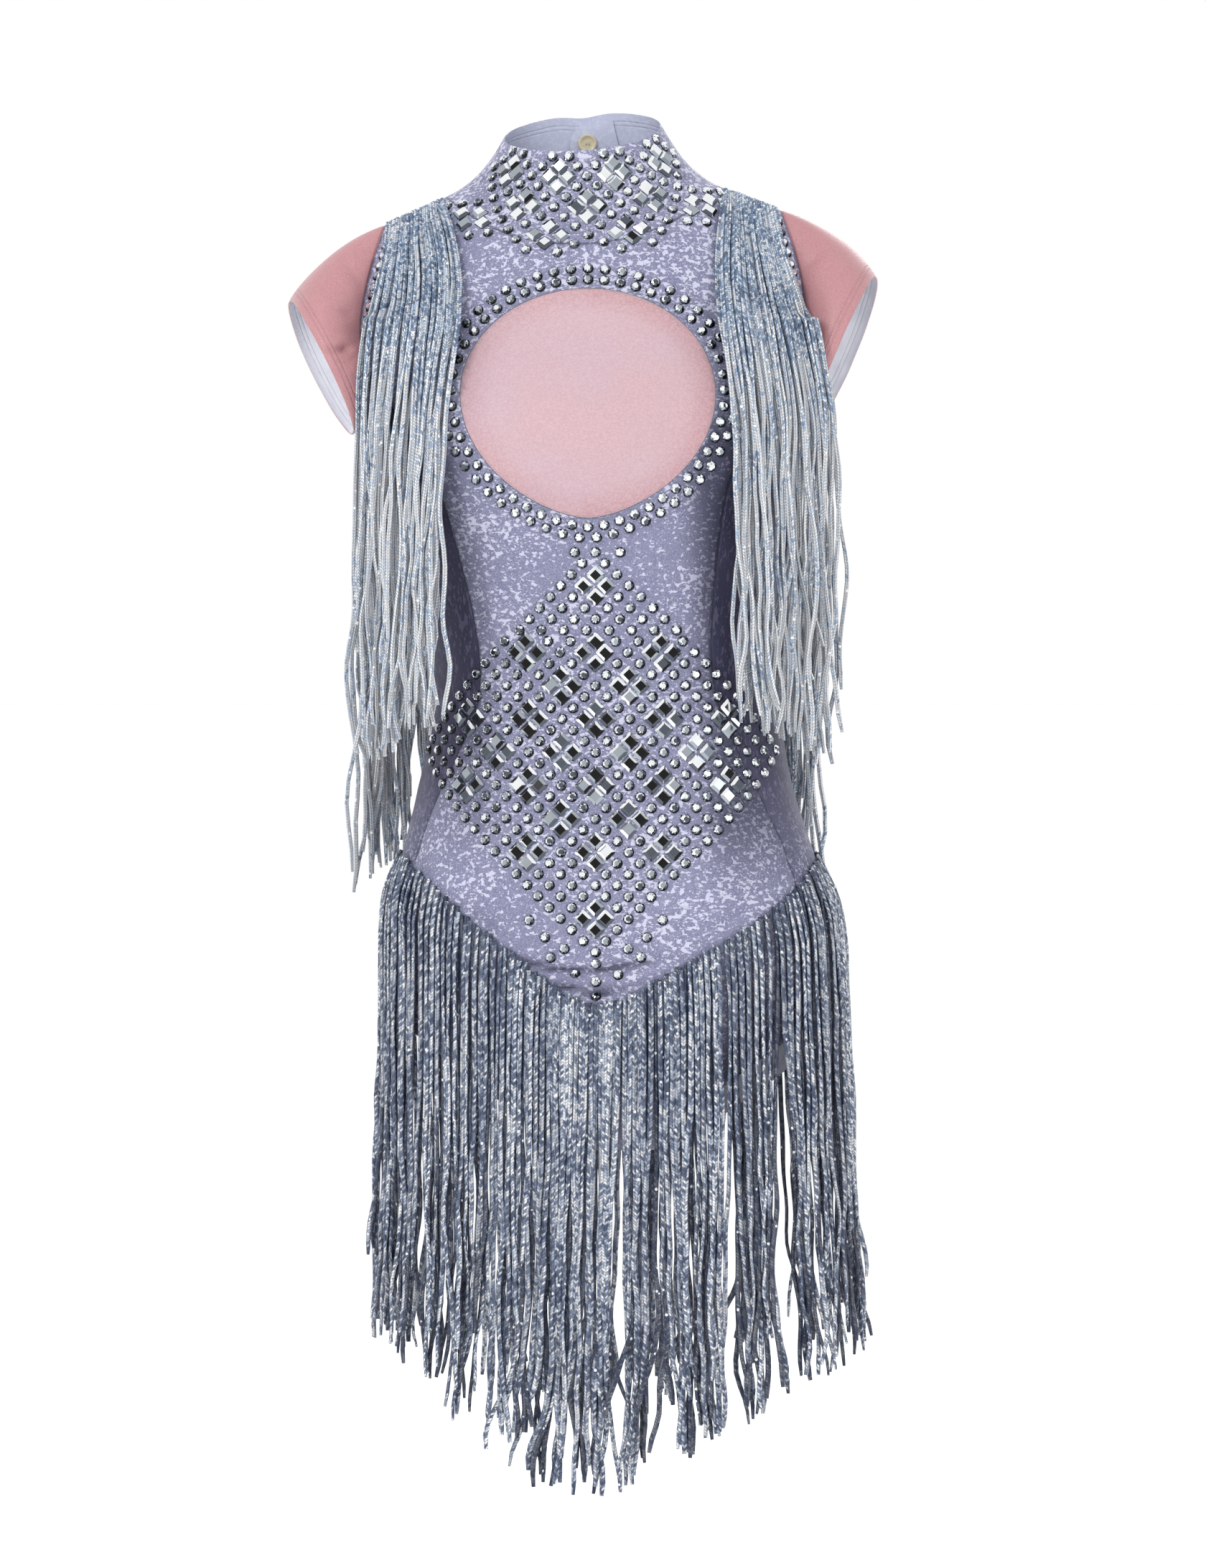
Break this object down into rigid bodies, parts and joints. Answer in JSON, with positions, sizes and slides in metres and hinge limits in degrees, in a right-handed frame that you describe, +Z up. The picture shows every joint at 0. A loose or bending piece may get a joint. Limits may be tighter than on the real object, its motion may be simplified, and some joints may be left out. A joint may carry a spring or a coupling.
{
  "type": "dance bodysuit",
  "caption": "Stretch dance bodysuit with a funnel collar, cap sleeves, an oval chest inset, mirror stones and long metallic fringe",
  "frame": {"origin": "midway between the shoulders, where the wearer's shoulders carry the garment", "axes": "+Z up along the body, -Y towards the garment's front, +X towards the wearer's left side"},
  "size_m": [0.436, 0.2599, 1.0161],
  "materials": {
    "print_pale": "matte stretch knit with a pale speckled print",
    "print_dark": "matte stretch knit with a dark streaked print",
    "pink_satin": "satin stretch knit",
    "pink_inset": "matte brushed stretch knit",
    "reverse": "unprinted reverse of the knit",
    "fringe": "knitted chain cord with metallic thread",
    "stone": "foil-backed faceted stones",
    "button": "gloss"
  },
  "bodies": {
    "root": {"front": "print_pale", "back_left": "print_pale", "back_right": "print_pale", "side_left": "print_dark", "side_right": "print_dark", "collar": "print_pale", "collar_tab": "reverse", "button": "button", "inset": "pink_inset", "sleeve_left": "pink_satin", "sleeve_right": "pink_satin", "hip_fringe_front": "fringe", "hip_fringe_back": "fringe", "shoulder_fringe_left": "fringe", "shoulder_fringe_right": "fringe", "back_fringe_left": "fringe", "back_fringe_right": "fringe"}
  },
  "joints": []
}
